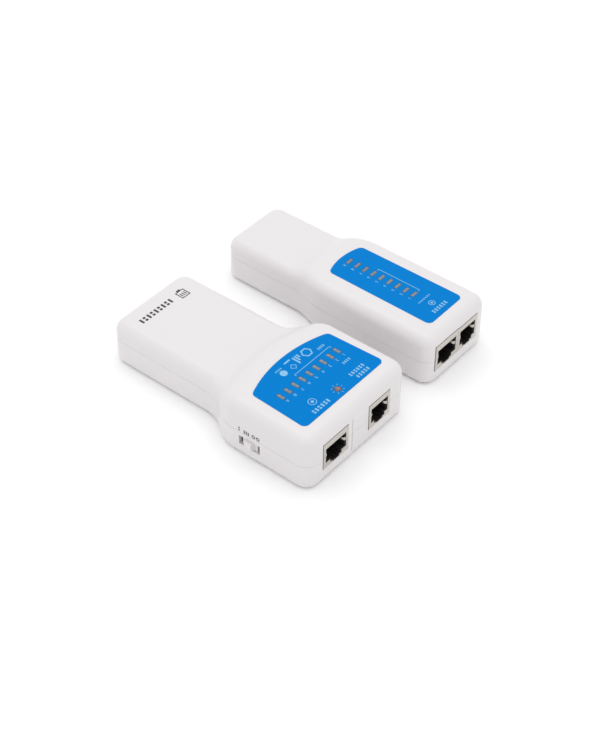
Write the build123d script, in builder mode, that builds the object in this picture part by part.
from build123d import *
import math
import os

# Network cable tester: a master unit with a battery and a slide switch, and a smaller remote unit.
# Frame, in millimetres: the origin is the middle of the master's flat base, +X points to the
# socket end, +Y to the remote that lies beside it, and +Z is up.

# ---- case, both units ----
case_length = 118.6
wall = 2.0
parting_height = 13.2        # the plane where the upper and lower shells meet
tongue_thickness = 0.9       # lip of the lower shell that locates the upper one
tongue_height = 1.4
fit_gap = 0.15               # slack of a moulded part in its seat
shadow_gap = 0.12            # fine groove that shows along the parting line
top_round = 5.6              # soft edge all round the top
bottom_round = 3.4
front_corner = 6.2           # corner radii of the outline
tail_corner = 6.2

# ---- master ----
master_head_width = 65.8
master_handle_width = 47.3
master_head_height = 27.5
master_flare = (40.0, 64.0)  # where the flare ends and starts, behind the socket face
master_slope = (45.4, 16.0)  # how far back the top starts to fall, and how long it falls
master_slope_radius = 67.0   # the slope follows an arc seen from above

# ---- remote ----
remote_head_width = 43.4
remote_handle_width = 36.7
remote_head_height = 26.2
remote_flare = (60.0, 77.5)
remote_slope = (69.0, 15.0)
remote_slope_radius = 50.0
remote_centre_y = 70.2       # the remote lies parallel to the master

# ---- circuit boards ----
board_thickness = 1.6
board_top = 7.3
board_side_gap = 2.3         # board edge to the inside of the wall
board_front_gap = 0.6
remote_board_end = 76.0      # behind the socket face
post_radius = 2.4

# ---- sockets ----
socket_depth = 16.0
socket_proud = 0.15          # how far the metal frame stands out of the case
socket_slack = 0.25          # gap between a socket and the case around it
shield_thickness = 0.3
insert_recess = 0.5          # black insert behind the front of its metal shell
cavity_depth = 12.6
cavity_height = 7.0
cavity_floor = 3.2           # above the board
contact_pitch = 1.02
contact_thickness = 0.35
large_width, large_height = 16.2, 13.6     # eight-way socket
large_window, large_cavity = 13.2, 11.9
large_keyway = 6.4
small_width, small_height = 14.2, 13.2     # six-way socket
small_window, small_cavity = 11.2, 9.8
small_keyway = 6.2
window_height = 7.7
master_large_y, master_small_y = -15.4, 13.6
front_line_y = -4.5          # a fine moulded line between the master's two sockets
front_line_width, front_line_depth = 0.4, 0.25
front_line_z = (3.9, 21.6)
remote_large_y = -8.7
remote_socket_gap = 0.1      # between the remote's two sockets
remote_small_y = remote_large_y + large_width / 2 + remote_socket_gap + small_width / 2

# ---- lamps and labels ----
lamp_count = 9
lamp_length, lamp_width, lamp_body = 4.0, 1.7, 7.0
lamp_gap = 0.12
lamp_proud = 0.25            # above the case, flush with the label's printed face
lead_width, lead_spacing = 0.5, 2.54
lead_tail = 1.0              # below the board
master_lamp_x, master_lamp_pitch = 26.9, 4.58   # behind the socket face
remote_lamp_x, remote_lamp_pitch = 42.8, 4.49
lamp_y = 0.5
power_lamp_x, power_lamp_y, power_lamp_radius = 12.1, 0.7, 1.5
label_thickness = 0.15
label_corner = 2.6
master_label_front, master_label_rear = 7.9, 36.9
master_label_half, master_label_taper, master_label_bow = 26.0, 1.2, 5.0
remote_label_front, remote_label_rear = 7.6, 63.0
remote_label_half, remote_label_taper, remote_label_bow = 12.0, 0.4, 2.4
label_y = 0.5

# ---- slide switch ----
switch_x = 31.3              # behind the socket face
slot_length, slot_height, slot_z = 11.2, 4.8, 8.8
knob_length, knob_travel = 7.8, 1.6
knob_recess = 0.7            # sliding plate below the case surface
knob_flange = 1.3            # hidden lip above and below the slot
knob_flange_thickness = 1.0
grip_length, grip_height = 4.6, 2.1
switch_length, switch_depth, switch_height = 12.4, 4.0, 4.0
switch_skin = 0.4
slider_half, slider_reach = 3.2, 1.3
stem_half, stem_half_height = 1.0, 0.8

# ---- battery and its door ----
battery_width, battery_height, battery_body = 26.5, 17.0, 46.0
battery_corner = 2.2
battery_end_gap = 1.7        # clears the round of the tail wall's top
terminal_spacing, terminal_height = 12.7, 2.6
stud_radius, cup_radius = 2.9, 4.3
snap_side_gap = 0.5          # snap narrower than the battery on each side
snap_width, snap_height, snap_thickness = battery_width - 2 * snap_side_gap, 12.5, 3.8
lead_diameter = 1.3
door_side_gap = 0.35         # door wider than the battery on each side
door_half = battery_width / 2 + door_side_gap
door_tongue, door_tongue_thickness = 1.3, 1.0
door_gap = 0.2
foam_thickness = 0.65        # pad between the battery and the top of the handle
battery_lift = 0.35          # battery above the door
handle_height = 2 * wall + battery_lift + battery_height + foam_thickness
battery_front = case_length - wall - battery_end_gap - battery_body   # behind the socket face
door_ahead, partition_ahead, board_ahead = 4.9, 6.8, 2.1
door_inner_end = battery_front - door_ahead
cradle_gap = 0.2             # battery to the cradle on each side
cradle_thickness, cradle_height = 2.7, 6.0
cradle_half = battery_width / 2 + cradle_gap
partition_thickness = 1.5
partition = (battery_front - partition_ahead - partition_thickness, partition_thickness)
master_board_end = partition[0] - board_ahead
grip_grooves, grip_pitch, grip_depth = 5, 2.4, 0.5

# ---- fasteners ----
screw_shank, screw_head, screw_head_height = 1.1, 2.1, 1.5
screw_seat = 3.4             # depth of the head below the base
case_screw_length = 17.0
boss_radius = 3.2
board_screw_length = 4.6
pillar_gap = 0.5             # pillar to the shell of the large socket beside it
front_pillar_y = abs(master_large_y) + large_width / 2 + pillar_gap + boss_radius
rear_screw_gap = 2.35        # middle of a rear screw to the cradle
rear_screw_y = cradle_half + cradle_thickness + rear_screw_gap
master_case_screws = [(8.6, front_pillar_y), (8.6, -front_pillar_y),
                      (108.0, rear_screw_y), (108.0, -rear_screw_y)]
remote_case_screws = [(23.0, 16.2), (23.0, -16.2), (108.0, 12.8), (108.0, -12.8)]
master_board_screws = [(6.0, -0.4), (53.5, 17.5), (53.5, -17.5)]
remote_board_screws = [(30.0, 8.5), (70.0, 9.0), (70.0, -9.0)]

face_x = case_length / 2
tail_x = -case_length / 2
board_bottom = board_top - board_thickness


def behind(distance):
    """X of a place given by its distance behind the socket face."""
    return face_x - distance


class Case:
    """Outer sizes of one hand unit, and the planes its sketches are drawn on."""

    def __init__(self, centre_y, head_width, handle_width, head_height, flare, slope, slope_radius):
        self.y = centre_y
        self.head_width = head_width
        self.handle_width = handle_width
        self.head_height = head_height
        self.flare_end = behind(flare[0])
        self.flare_start = behind(flare[1])
        self.slope_edge = behind(slope[0])
        self.slope_foot = behind(slope[0] + slope[1])
        self.slope_centre = self.slope_edge + slope_radius

    def plane(self, z):
        return Plane(origin=(0, self.y, z))

    def side_plane(self):
        return Plane(origin=(0, self.y, 0), x_dir=(1, 0, 0), z_dir=(0, -1, 0))

    def places(self, spots):
        """Points on the unit for (distance behind the socket face, sideways) pairs."""
        return [(behind(distance), self.y + side) for distance, side in spots]


master = Case(0, master_head_width, master_handle_width, master_head_height,
              master_flare, master_slope, master_slope_radius)
remote = Case(remote_centre_y, remote_head_width, remote_handle_width, remote_head_height,
              remote_flare, remote_slope, remote_slope_radius)


def midpoint(a, b):
    return ((a[0] + b[0]) / 2, (a[1] + b[1]) / 2)


def block(x, y, z, mode=Mode.ADD):
    """A box between two limits along each axis, in the part being built."""
    with Locations(((x[0] + x[1]) / 2, (y[0] + y[1]) / 2, (z[0] + z[1]) / 2)):
        Box(x[1] - x[0], y[1] - y[0], z[1] - z[0], mode=mode)


def post(places, radius, z, mode=Mode.ADD):
    """Upright cylinders between two heights, in the part being built."""
    with Locations([(x, y, (z[0] + z[1]) / 2) for x, y in places]):
        Cylinder(radius, z[1] - z[0], mode=mode)


def case_plan(case, inset=0.0):
    """Outline seen from above: a straight handle, an S-shaped flare and a wider head."""
    with BuildSketch() as plan:
        with BuildLine():
            start = (case.flare_start, case.handle_width / 2)
            end = (case.flare_end, case.head_width / 2)
            turn = midpoint(start, end)
            Polyline((tail_x, 0), (tail_x, case.handle_width / 2), start)
            hollow = TangentArc(start, turn, tangent=(1, 0))
            TangentArc(turn, end, tangent=hollow % 1)
            Polyline(end, (face_x, case.head_width / 2), (face_x, 0))
            mirror(about=Plane.XZ)
        make_face()
        fillet(plan.vertices().group_by(Axis.X)[-1], front_corner)
        fillet(plan.vertices().group_by(Axis.X)[0], tail_corner)
        if inset:
            offset(amount=-inset)
    return plan.sketch


def case_form(case, inset=0.0):
    """The unit's outer form, or the same form shrunk by inset on every side."""
    top = case.head_height - inset
    handle_top = handle_height - inset
    with BuildPart() as form:
        with BuildSketch(case.plane(inset)):
            add(case_plan(case, inset))
        extrude(amount=top - inset)
        with BuildSketch(case.side_plane()) as above_handle:
            with BuildLine():
                edge = (case.slope_edge, top)
                foot = (case.slope_foot, handle_top)
                turn = midpoint(edge, foot)
                crest = TangentArc(edge, turn, tangent=(-1, 0))
                TangentArc(turn, foot, tangent=crest % 1)
                Polyline(foot, (tail_x - wall, handle_top), (tail_x - wall, top + wall),
                         (case.slope_edge, top + wall), edge)
            make_face()
        revolve(axis=Axis((case.slope_centre, case.y, 0), (0, 0, 1)), mode=Mode.SUBTRACT)
        sides = form.faces().filter_by(lambda face: abs(face.normal_at().Z) < 0.01)
        tops = form.faces().filter_by(lambda face: face.normal_at().Z > 0.2)
        fillet(sides.edges() & tops.edges(), top_round - inset)
        fillet(form.edges().group_by(Axis.Z)[0], bottom_round - inset)
    return form.part


def board_plan(case, end):
    """Board outline: the inside of the head with slack, cut off behind."""
    with BuildSketch() as plan:
        add(case_plan(case, wall + board_side_gap))
        front = face_x - wall - board_front_gap
        reach = front - behind(end)
        with Locations((front - reach / 2, 0)):
            Rectangle(reach, case.head_width, mode=Mode.INTERSECT)
    return plan.sketch


def upper_shell(case, screws):
    """Upper half: top, walls down to the parting line, a rebate for the lip, and screw pillars."""
    with BuildPart() as shell:
        add(case_form(case))
        add(case_form(case, wall), mode=Mode.SUBTRACT)
        post(case.places(screws), boss_radius, (parting_height, case.head_height))
        add(case_form(case), mode=Mode.INTERSECT)
        split(bisect_by=Plane.XY.offset(parting_height), keep=Keep.TOP)
        with BuildSketch(case.plane(parting_height)):
            add(case_plan(case, wall - tongue_thickness - fit_gap))
            add(case_plan(case, wall + fit_gap), mode=Mode.SUBTRACT)
        extrude(amount=tongue_height + fit_gap, mode=Mode.SUBTRACT)
        with BuildSketch(case.plane(parting_height)):
            add(case_plan(case, -shadow_gap))
            add(case_plan(case, 2 * shadow_gap), mode=Mode.SUBTRACT)
        extrude(amount=shadow_gap, mode=Mode.SUBTRACT)
        pilot_top = screw_seat + case_screw_length - screw_head_height + fit_gap
        post(case.places(screws), screw_shank + 0.02, (parting_height - 1, pilot_top), Mode.SUBTRACT)
    return shell.part


def lower_shell(case, screws, board_screws):
    """Lower half: base, walls, lip, screw pillars with deep head seats, and board posts."""
    with BuildPart() as shell:
        add(case_form(case))
        add(case_form(case, wall), mode=Mode.SUBTRACT)
        post(case.places(screws), boss_radius, (0, parting_height))
        post(case.places(board_screws), post_radius, (wall / 2, board_bottom))
        add(case_form(case), mode=Mode.INTERSECT)
        split(bisect_by=Plane.XY.offset(parting_height), keep=Keep.BOTTOM)
        with BuildSketch(case.plane(parting_height)):
            add(case_plan(case, wall - tongue_thickness))
            add(case_plan(case, wall), mode=Mode.SUBTRACT)
        extrude(amount=tongue_height)
        post(case.places(screws), screw_shank + fit_gap, (-1, parting_height + 1), Mode.SUBTRACT)
        post(case.places(screws), screw_head + fit_gap, (-1, screw_seat), Mode.SUBTRACT)
        drill_top = board_bottom - (board_screw_length - board_thickness) - fit_gap
        post(case.places(board_screws), screw_shank + 0.02, (drill_top, board_bottom + 1), Mode.SUBTRACT)
    return shell.part


def cut_socket(y, width, height):
    """Opening for one socket through the front wall and its inner corners, with slack all round."""
    half = width / 2 + socket_slack
    block((face_x - max(wall + 1, front_corner), face_x + 1), (y - half, y + half),
          (board_top - socket_slack, board_top + height + socket_slack), Mode.SUBTRACT)


def cut_front_line():
    """Shallow upright groove in the master's front face, which both shells share."""
    block((face_x - front_line_depth, face_x + 1),
          (front_line_y - front_line_width / 2, front_line_y + front_line_width / 2),
          front_line_z, Mode.SUBTRACT)


def lamp_places(case, middle, pitch, along_x):
    """Centres of the lamps: a row across the unit, or a row along it."""
    offsets = [(i - (lamp_count - 1) / 2) * pitch for i in range(lamp_count)]
    if along_x:
        return [(behind(middle) - step, case.y + lamp_y) for step in offsets]
    return [(behind(middle), case.y + lamp_y - step) for step in offsets]


master_lamps = lamp_places(master, master_lamp_x, master_lamp_pitch, along_x=False)
remote_lamps = lamp_places(remote, remote_lamp_x, remote_lamp_pitch, along_x=True)
power_lamp = (behind(power_lamp_x), power_lamp_y)


def lamp_size(along_x):
    """Footprint of a lamp, which lies across its own row."""
    return (lamp_width, lamp_length) if along_x else (lamp_length, lamp_width)


def cut_windows(places, along_x, z):
    """Rectangular windows for a row of lamps."""
    length, width = lamp_size(along_x)
    with Locations([(x, y, (z[0] + z[1]) / 2) for x, y in places]):
        Box(length + 2 * lamp_gap, width + 2 * lamp_gap, z[1] - z[0], mode=Mode.SUBTRACT)


def lead_places(place, along_x):
    """The two leads of a lamp, in line with its long side."""
    x, y = place
    half = lead_spacing / 2
    return [(x, y - half), (x, y + half)] if along_x else [(x - half, y), (x + half, y)]


def rectangular_lamp(place, along_x, top):
    """Rectangular lamp on long leads that reach down through the board."""
    length, width = lamp_size(along_x)
    x, y = place
    with BuildPart() as lamp:
        block((x - length / 2, x + length / 2), (y - width / 2, y + width / 2), (top - lamp_body, top))
        fillet(lamp.edges().group_by(Axis.Z)[-1], 0.2)
        for lead_x, lead_y in lead_places(place, along_x):
            half = lead_width / 2
            block((lead_x - half, lead_x + half), (lead_y - half, lead_y + half),
                  (board_bottom - lead_tail, top - lamp_body + 0.5))
    return lamp.part


def label_film(case, front, rear, half, taper, bow, lamps, along_x):
    """Printed film: straight front, sides that close in slightly, and a bowed rear edge."""
    with BuildPart() as film:
        with BuildSketch(case.plane(case.head_height)) as outline:
            with BuildLine():
                near = [(behind(front), label_y - half), (behind(rear), label_y - half + taper)]
                far = [(behind(rear), label_y + half - taper), (behind(front), label_y + half)]
                Line(*near)
                ThreePointArc(near[1], (behind(rear + bow), label_y), far[0])
                Line(*far)
                Line(far[1], near[0])
            make_face()
            fillet(outline.vertices(), label_corner)
        extrude(amount=label_thickness)
        top = case.head_height + label_thickness
        cut_windows(lamps, along_x, (case.head_height - 1, top + 1))
    return film


def board(case, end, lamps, along_x, screws, pillars):
    """Circuit board with its screw holes, lead holes and notches round the case pillars."""
    with BuildPart() as plate:
        with BuildSketch(case.plane(board_bottom)):
            add(board_plan(case, end))
        extrude(amount=board_thickness)
        through = (board_bottom - 1, board_top + 1)
        post(case.places(pillars), boss_radius + 0.5, through, Mode.SUBTRACT)
        post(case.places(screws), screw_shank + fit_gap, through, Mode.SUBTRACT)
        holes = [spot for lamp in lamps for spot in lead_places(lamp, along_x)]
        post(holes, lead_width * 0.75, through, Mode.SUBTRACT)
    return plate


def case_screw_set(case, screws):
    """Self-tapping screws that come up through the base, as one group."""
    shank_top = screw_seat + case_screw_length - screw_head_height
    with BuildPart() as group:
        post(case.places(screws), screw_shank, (screw_seat - screw_head_height, shank_top))
        post(case.places(screws), screw_head, (screw_seat - screw_head_height, screw_seat))
        fillet(group.edges().group_by(Axis.Z)[0], 0.4)
        slot_depth = screw_seat - screw_head_height + 0.7
        for x, y in case.places(screws):
            block((x - 1.3, x + 1.3), (y - 0.25, y + 0.25), (0, slot_depth), Mode.SUBTRACT)
            block((x - 0.25, x + 0.25), (y - 1.3, y + 1.3), (0, slot_depth), Mode.SUBTRACT)
    return group


def board_screw_set(case, screws):
    """Pan-head screws that hold the board down on its posts, as one group."""
    head_top = board_top + screw_head_height
    with BuildPart() as group:
        post(case.places(screws), screw_shank, (board_top - board_screw_length, board_top + 0.5))
        post(case.places(screws), screw_head, (board_top, head_top))
        fillet(group.edges().group_by(Axis.Z)[-1], 0.5)
        for x, y in case.places(screws):
            block((x - 1.3, x + 1.3), (y - 0.25, y + 0.25), (head_top - 0.7, head_top + 1), Mode.SUBTRACT)
            block((x - 0.25, x + 0.25), (y - 1.3, y + 1.3), (head_top - 0.7, head_top + 1), Mode.SUBTRACT)
    return group


class Socket:
    """A shielded modular socket that stands on the board with its latch side down."""

    def __init__(self, y, width, height, window, cavity, keyway, ways):
        self.y = y
        self.width = width
        self.height = height
        self.window = window
        self.cavity = cavity
        self.keyway = keyway
        self.ways = ways
        self.front = face_x + socket_proud
        self.back = self.front - socket_depth
        self.floor = board_top + cavity_floor
        self.ceiling = self.floor + cavity_height

    def across(self, width):
        return (self.y - width / 2, self.y + width / 2)

    def keyway_cut(self, x, mode):
        """Two steps below the cavity that the plug's latch slides in."""
        block(x, self.across(self.keyway), (self.floor - 1.6, self.floor + 0.5), mode)
        block(x, self.across(self.keyway * 0.56), (self.floor - 2.4, self.floor - 1.5), mode)


def socket_shield(socket):
    """Folded metal shell, open below and at the front window."""
    with BuildPart() as shield:
        block((socket.back, socket.front), socket.across(socket.width),
              (board_top, board_top + socket.height))
        block((socket.back + shield_thickness, socket.front - shield_thickness),
              socket.across(socket.width - 2 * shield_thickness),
              (board_top - 1, board_top + socket.height - shield_thickness), Mode.SUBTRACT)
        fillet(shield.edges().filter_by(Axis.X).group_by(Axis.Z)[-1], shield_thickness / 2)
        mouth = (socket.front - 1, socket.front + 1)
        middle = (socket.floor + socket.ceiling) / 2
        block(mouth, socket.across(socket.window),
              (middle - window_height / 2, middle + window_height / 2), Mode.SUBTRACT)
        block(mouth, socket.across(socket.keyway + 1.0), (socket.floor - 1.9, socket.floor), Mode.SUBTRACT)
        block(mouth, socket.across(socket.keyway * 0.56 + 1.0),
              (socket.floor - 2.7, socket.floor), Mode.SUBTRACT)
    return shield


def socket_insert(socket):
    """Black moulding inside the shell, with the plug cavity and the latch keyway."""
    slack = 0.05
    with BuildPart() as insert:
        front = socket.front - shield_thickness - slack
        block((socket.back + shield_thickness + slack, front),
              socket.across(socket.width - 2 * (shield_thickness + slack)),
              (board_top, board_top + socket.height - shield_thickness - slack))
        cavity = (socket.front - cavity_depth, socket.front + 1)
        block(cavity, socket.across(socket.cavity), (socket.floor, socket.ceiling), Mode.SUBTRACT)
        socket.keyway_cut(cavity, Mode.SUBTRACT)
    return insert


def socket_contacts(socket):
    """Gold spring wires that hang from the cavity roof and slope back into it."""
    pitch_start = -(socket.ways - 1) / 2
    roof = socket.ceiling - contact_thickness / 2 - 0.03
    with BuildPart() as wires:
        for way in range(socket.ways):
            y = socket.y + (pitch_start + way) * contact_pitch
            plane = Plane(origin=(0, y, 0), x_dir=(1, 0, 0), z_dir=(0, -1, 0))
            with BuildSketch(plane):
                with BuildLine():
                    FilletPolyline((socket.front - cavity_depth + 0.1, roof),
                                   (socket.front - 2.2, roof),
                                   (socket.front - 8.6, roof - 1.95), radius=0.3)
                trace(line_width=contact_thickness)
            extrude(amount=contact_thickness / 2, both=True)
    return wires


def export_piece(part, name):
    part.label = name
    export_step(part, f"parts/{name}.step")
    print(f"{name}: {len(part.solids())} solids, {part.volume:.1f} mm3")


os.makedirs("parts", exist_ok=True)

# ================================ master ================================
large_socket = Socket(master_large_y, large_width, large_height, large_window,
                      large_cavity, large_keyway, 8)
small_socket = Socket(master_small_y, small_width, small_height, small_window,
                      small_cavity, small_keyway, 6)
side_wall_y = -master_head_width / 2          # outer face of the wall that holds the switch
knob_x = behind(switch_x)

with BuildPart() as master_top_shell:
    add(upper_shell(master, master_case_screws))
    cut_socket(large_socket.y, large_socket.width, large_socket.height)
    cut_socket(small_socket.y, small_socket.width, small_socket.height)
    cut_front_line()
    through_top = (master_head_height - wall - 1, master_head_height + 1)
    cut_windows(master_lamps, False, through_top)
    post([power_lamp], power_lamp_radius + lamp_gap, through_top, Mode.SUBTRACT)
export_piece(master_top_shell.part, "master_top_shell")

battery_x = (tail_x + wall + battery_end_gap, tail_x + wall + battery_end_gap + battery_body)
battery_bottom = wall + battery_lift
battery_z = battery_bottom + battery_height / 2
door_x = (tail_x, behind(door_inner_end))
door_slot_top = wall + door_gap
tongue_half = door_half + door_tongue

with BuildPart() as master_bottom_shell:
    add(lower_shell(master, master_case_screws, master_board_screws))
    for side in (-1, 1):
        rib_y = sorted((side * cradle_half, side * (cradle_half + cradle_thickness)))
        block((tail_x + wall / 2, door_x[1] + 1), rib_y, (wall / 2, wall + cradle_height))
    notch_half = 7.0
    partition_x = (behind(partition[0] + partition[1]), behind(partition[0]))
    inner_half = master_handle_width / 2 - wall / 2
    block(partition_x, (-inner_half, inner_half), (wall / 2, parting_height + tongue_height))
    block((partition_x[0] - 1, partition_x[1] + 1), (-notch_half, notch_half),
          (battery_z - 2.2, master_head_height), Mode.SUBTRACT)
    slot_end = door_x[1] + door_gap
    block((tail_x - 1, slot_end), (-door_half - door_gap, door_half + door_gap),
          (-1, door_slot_top), Mode.SUBTRACT)
    tongue_bottom = wall - door_tongue_thickness - door_gap
    block((tail_x - 1, slot_end), (-tongue_half - door_gap, tongue_half + door_gap),
          (tongue_bottom, door_slot_top), Mode.SUBTRACT)
    cut_socket(large_socket.y, large_socket.width, large_socket.height)
    cut_socket(small_socket.y, small_socket.width, small_socket.height)
    cut_front_line()
    block((knob_x - slot_length / 2, knob_x + slot_length / 2),
          (side_wall_y - 1, side_wall_y + wall + 0.5),
          (slot_z - slot_height / 2, slot_z + slot_height / 2), Mode.SUBTRACT)
export_piece(master_bottom_shell.part, "master_bottom_shell")

with BuildPart() as battery_door:
    block(door_x, (-door_half, door_half), (0, wall))
    block(door_x, (-tongue_half, tongue_half), (wall - door_tongue_thickness, wall))
    add(case_form(master), mode=Mode.INTERSECT)
    for groove in range(grip_grooves):
        groove_x = tail_x + 9 + groove * grip_pitch
        block((groove_x - 0.5, groove_x + 0.5), (-9, 9), (-1, grip_depth), Mode.SUBTRACT)
export_piece(battery_door.part, "battery_door")

master_label = label_film(master, master_label_front, master_label_rear, master_label_half,
                          master_label_taper, master_label_bow, master_lamps, False)
with master_label:
    post([power_lamp], power_lamp_radius + lamp_gap,
         (master_head_height - 1, master_head_height + 1), Mode.SUBTRACT)
export_piece(master_label.part, "master_label")

power_leads = [(power_lamp[0] - lead_spacing / 2, power_lamp[1]),
               (power_lamp[0] + lead_spacing / 2, power_lamp[1])]
master_pcb = board(master, master_board_end, master_lamps, False,
                   master_board_screws, master_case_screws)
with master_pcb:
    post(power_leads, lead_width * 0.75, (board_bottom - 1, board_top + 1), Mode.SUBTRACT)
export_piece(master_pcb.part, "master_pcb")

lamp_top = master_head_height + lamp_proud
for number, place in enumerate(master_lamps, start=1):
    name = f"master_led_{number}" if number < lamp_count else "master_led_ground"
    export_piece(rectangular_lamp(place, False, lamp_top), name)

with BuildPart() as power_led:
    dome_base = master_head_height - power_lamp_radius + 0.7
    post([power_lamp], power_lamp_radius, (dome_base - 4.5, dome_base))
    with Locations((*power_lamp, dome_base)):
        Sphere(power_lamp_radius)
    post([power_lamp], power_lamp_radius + 0.4, (dome_base - 5.5, dome_base - 4.5))
    for lead_x, lead_y in power_leads:
        half = lead_width / 2
        block((lead_x - half, lead_x + half), (lead_y - half, lead_y + half),
              (board_bottom - lead_tail, dome_base - 5.3))
export_piece(power_led.part, "power_led")

# ---- slide switch: bracket, base, slider and the white knob that shows outside ----
knob_inner = side_wall_y + wall + door_gap          # hidden lip clears the wall's inside
switch_y = (knob_inner + knob_flange_thickness + 0.8,
            knob_inner + knob_flange_thickness + 0.8 + switch_depth)
switch_z = (board_top, board_top + switch_height)
stem_z = board_top + switch_height / 2
stem_reach = knob_travel + stem_half + 0.3
slider_y = (switch_y[0] + switch_skin + 0.05, switch_y[0] + switch_skin + 0.05 + slider_reach)

with BuildPart() as switch_bracket:
    half = switch_length / 2
    block((knob_x - half, knob_x + half), switch_y, switch_z)
    block((knob_x - half + switch_skin, knob_x + half - switch_skin),
          (switch_y[0] + switch_skin, switch_y[1] - switch_skin),
          (board_top - 1, switch_z[1] - switch_skin), Mode.SUBTRACT)
    block((knob_x - stem_reach, knob_x + stem_reach), (switch_y[0] - 1, switch_y[0] + 1),
          (stem_z - stem_half_height - 0.2, stem_z + stem_half_height + 0.2), Mode.SUBTRACT)
export_piece(switch_bracket.part, "switch_bracket")

with BuildPart() as switch_base:
    half = switch_length / 2 - switch_skin
    block((knob_x - half, knob_x + half), (slider_y[1] + 0.1, switch_y[1] - switch_skin),
          (board_top, switch_z[1] - switch_skin))
export_piece(switch_base.part, "switch_base")

with BuildPart() as switch_slider:
    block((knob_x - slider_half, knob_x + slider_half), slider_y,
          (stem_z - 1.3, stem_z + 1.3))
    block((knob_x - stem_half, knob_x + stem_half), (knob_inner + 0.15, slider_y[1] - 0.2),
          (stem_z - stem_half_height, stem_z + stem_half_height))
export_piece(switch_slider.part, "switch_slider")

with BuildPart() as switch_knob:
    plate_half_height = slot_height / 2 - door_gap
    block((knob_x - knob_length / 2, knob_x + knob_length / 2),
          (side_wall_y + knob_recess, knob_inner + knob_flange_thickness),
          (slot_z - plate_half_height, slot_z + plate_half_height))
    with BuildSketch(Plane(origin=(knob_x, side_wall_y + knob_recess, slot_z),
                           x_dir=(1, 0, 0), z_dir=(0, -1, 0))):
        Rectangle(grip_length, 2 * plate_half_height)
    extrude(amount=grip_height, taper=12)
    fillet(switch_knob.edges().group_by(Axis.Y)[0], 0.35)
    lip_half = slot_height / 2 + knob_flange
    block((knob_x - knob_length / 2, knob_x + knob_length / 2),
          (knob_inner, knob_inner + knob_flange_thickness), (slot_z - lip_half, slot_z + lip_half))
    block((knob_x - stem_half - 0.1, knob_x + stem_half + 0.1),
          (knob_inner + 0.1, knob_inner + knob_flange_thickness + 1),
          (stem_z - stem_half_height - 0.1, stem_z + stem_half_height + 0.1), Mode.SUBTRACT)
export_piece(switch_knob.part, "switch_knob")

# ---- sockets ----
for prefix, socket in (("master_rj45", large_socket), ("master_rj12", small_socket)):
    export_piece(socket_shield(socket).part, f"{prefix}_shield")
    export_piece(socket_insert(socket).part, f"{prefix}_insert")
    export_piece(socket_contacts(socket).part, f"{prefix}_contacts")

# ---- battery, its snap and leads ----
with BuildPart() as battery:
    block(battery_x, (-battery_width / 2, battery_width / 2),
          (battery_bottom, battery_bottom + battery_height))
    fillet(battery.edges().filter_by(Axis.X), battery_corner)
    fillet(battery.edges().group_by(Axis.X)[0] + battery.edges().group_by(Axis.X)[-1], 0.6)
export_piece(battery.part, "battery")

terminal_plane = Plane(origin=(battery_x[1], 0, battery_z), x_dir=(0, 1, 0), z_dir=(1, 0, 0))
with BuildPart() as battery_terminals:
    with BuildSketch(terminal_plane):
        with Locations((terminal_spacing / 2, 0)):
            Circle(stud_radius)
        with Locations((-terminal_spacing / 2, 0)):
            Circle(cup_radius)
            Circle(stud_radius, mode=Mode.SUBTRACT)
    extrude(amount=terminal_height)
export_piece(battery_terminals.part, "battery_terminals")

snap_x = battery_x[1] + 0.6
with BuildPart() as battery_snap:
    with BuildSketch(terminal_plane.offset(0.6)):
        RectangleRounded(snap_width, snap_height, 3.0)
    extrude(amount=snap_thickness)
    for side, radius in ((1, stud_radius), (-1, cup_radius)):
        with BuildSketch(terminal_plane):
            with Locations((side * terminal_spacing / 2, 0)):
                Circle(radius + 0.1)
        extrude(amount=terminal_height + 0.1, mode=Mode.SUBTRACT)
    fillet(battery_snap.edges().group_by(Axis.X)[-1], 0.8)
export_piece(battery_snap.part, "battery_snap")

lead_start = snap_x + snap_thickness
lead_rest = board_top + lead_diameter / 2 + 0.03


def battery_lead(side):
    """Insulated wire from the snap, through the notch in the partition, down to the board."""
    route = [(lead_start, side * 3.2, battery_z),
             (lead_start + 4.0, side * 3.2, battery_z),
             (lead_start + 8.4, side * 3.9, battery_z - 0.4),
             (lead_start + 12.6, side * 4.8, battery_z - 1.5),
             (lead_start + 16.2, side * 5.2, lead_rest + 0.3),
             (lead_start + 19.8, side * 5.1, lead_rest)]
    with BuildPart() as wire:
        with BuildLine() as path:
            FilletPolyline(*route, radius=[8, 8, 8, 8])
        with BuildSketch(Plane(origin=path.line @ 0, z_dir=path.line % 0)):
            Circle(lead_diameter / 2)
        sweep()
    length = sum(edge.length for edge in path.edges())
    section = math.pi * lead_diameter ** 2 / 4
    print(f"lead {length:.1f} long, volume over section times length {wire.part.volume / section / length:.4f}")
    return wire.part


export_piece(battery_lead(1), "battery_lead_red")
export_piece(battery_lead(-1), "battery_lead_black")

battery_top = battery_bottom + battery_height
with BuildPart() as battery_foam:
    block((battery_x[0] + 12, battery_x[0] + 34), (-9, 9), (battery_top, battery_top + foam_thickness))
export_piece(battery_foam.part, "battery_foam")


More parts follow.
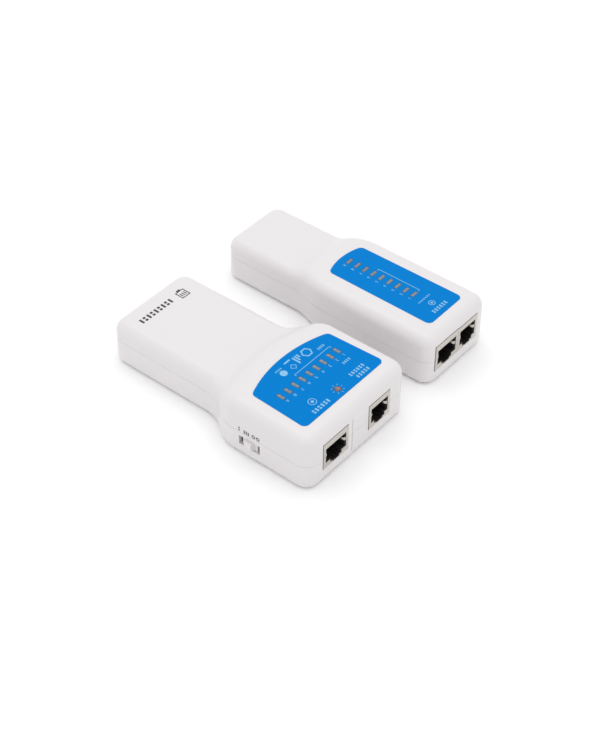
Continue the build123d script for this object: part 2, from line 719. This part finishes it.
# ---- components on the master's board ----
def dual_in_line(x, y, length, pins):
    """Moulded chip with two rows of legs, its long side across the unit."""
    with BuildPart() as chip:
        block((x - 3.2, x + 3.2), (y - length / 2, y + length / 2), (board_top + 0.5, board_top + 3.8))
        chamfer(chip.edges().group_by(Axis.Z)[-1], 0.3)
        with Locations((x, y - length / 2, board_top + 3.8)):
            Cylinder(0.8, 1.0, mode=Mode.SUBTRACT)
        for pin in range(pins // 2):
            pin_y = y + (pin - (pins // 2 - 1) / 2) * 2.54
            for side in (-1, 1):
                leg_x = sorted((x + side * 3.0, x + side * 3.9))
                foot_x = sorted((x + side * 3.65, x + side * 3.9))
                block(leg_x, (pin_y - 0.6, pin_y + 0.6), (board_top + 1.9, board_top + 2.15))
                block(foot_x, (pin_y - 0.25, pin_y + 0.25), (board_top, board_top + 2.0))
    return chip.part


export_piece(dual_in_line(behind(39.6), 6.0, 19.3, 16), "counter_chip")
export_piece(dual_in_line(behind(39.6), -14.0, 9.4, 8), "timer_chip")


def axial_parts(places, length, radius):
    """Small axial components across the unit, with bent leads, as one group."""
    z = board_top + radius + 0.1
    with BuildPart() as group:
        for x, y in places:
            with Locations((x, y, z)):
                Cylinder(radius, length, rotation=(90, 0, 0))
            for side in (-1, 1):
                end = y + side * (length / 2 + 1.2)
                block((x - 0.25, x + 0.25), sorted((y, end)), (z - 0.25, z + 0.25))
                block((x - 0.25, x + 0.25), sorted((end - side * 0.5, end)), (board_top, z + 0.25))
    return group.part


resistor_spots = [(31.6, -15.0), (31.6, -5.0), (31.6, 5.0), (31.6, 15.0)]
export_piece(axial_parts(master.places(resistor_spots), 6.3, 1.15), "master_resistors")

with BuildPart() as capacitor:
    cap_place = (behind(47.0), 19.0)
    post([cap_place], 2.5, (board_top + 0.3, board_top + 11.0))
    fillet(capacitor.edges().group_by(Axis.Z)[-1], 0.5)
    post([(cap_place[0], cap_place[1] - 1), (cap_place[0], cap_place[1] + 1)], 0.25,
         (board_top, board_top + 0.8))
export_piece(capacitor.part, "capacitor")

export_piece(case_screw_set(master, master_case_screws).part, "master_case_screws")
export_piece(board_screw_set(master, master_board_screws).part, "master_board_screws")

# ================================ remote ================================
remote_large = Socket(remote.y + remote_large_y, large_width, large_height, large_window,
                      large_cavity, large_keyway, 8)
remote_small = Socket(remote.y + remote_small_y, small_width, small_height, small_window,
                      small_cavity, small_keyway, 6)

with BuildPart() as remote_top_shell:
    add(upper_shell(remote, remote_case_screws))
    cut_socket(remote_large.y, remote_large.width, remote_large.height)
    cut_socket(remote_small.y, remote_small.width, remote_small.height)
    cut_windows(remote_lamps, True, (remote_head_height - wall - 1, remote_head_height + 1))
export_piece(remote_top_shell.part, "remote_top_shell")

with BuildPart() as remote_bottom_shell:
    add(lower_shell(remote, remote_case_screws, remote_board_screws))
    cut_socket(remote_large.y, remote_large.width, remote_large.height)
    cut_socket(remote_small.y, remote_small.width, remote_small.height)
export_piece(remote_bottom_shell.part, "remote_bottom_shell")

remote_label = label_film(remote, remote_label_front, remote_label_rear, remote_label_half,
                          remote_label_taper, remote_label_bow, remote_lamps, True)
export_piece(remote_label.part, "remote_label")

remote_pcb = board(remote, remote_board_end, remote_lamps, True,
                   remote_board_screws, remote_case_screws)
export_piece(remote_pcb.part, "remote_pcb")

lamp_top = remote_head_height + lamp_proud
for number, place in enumerate(remote_lamps, start=1):
    name = f"remote_led_{number}" if number < lamp_count else "remote_led_ground"
    export_piece(rectangular_lamp(place, True, lamp_top), name)

for prefix, socket in (("remote_rj45", remote_large), ("remote_rj12", remote_small)):
    export_piece(socket_shield(socket).part, f"{prefix}_shield")
    export_piece(socket_insert(socket).part, f"{prefix}_insert")
    export_piece(socket_contacts(socket).part, f"{prefix}_contacts")

diode_spots = [(remote_lamp_x + (row - 4) * remote_lamp_pitch, -8.0) for row in range(lamp_count)]
export_piece(axial_parts(remote.places(diode_spots), 4.2, 1.0), "remote_diodes")
export_piece(case_screw_set(remote, remote_case_screws).part, "remote_case_screws")
export_piece(board_screw_set(remote, remote_board_screws).part, "remote_board_screws")
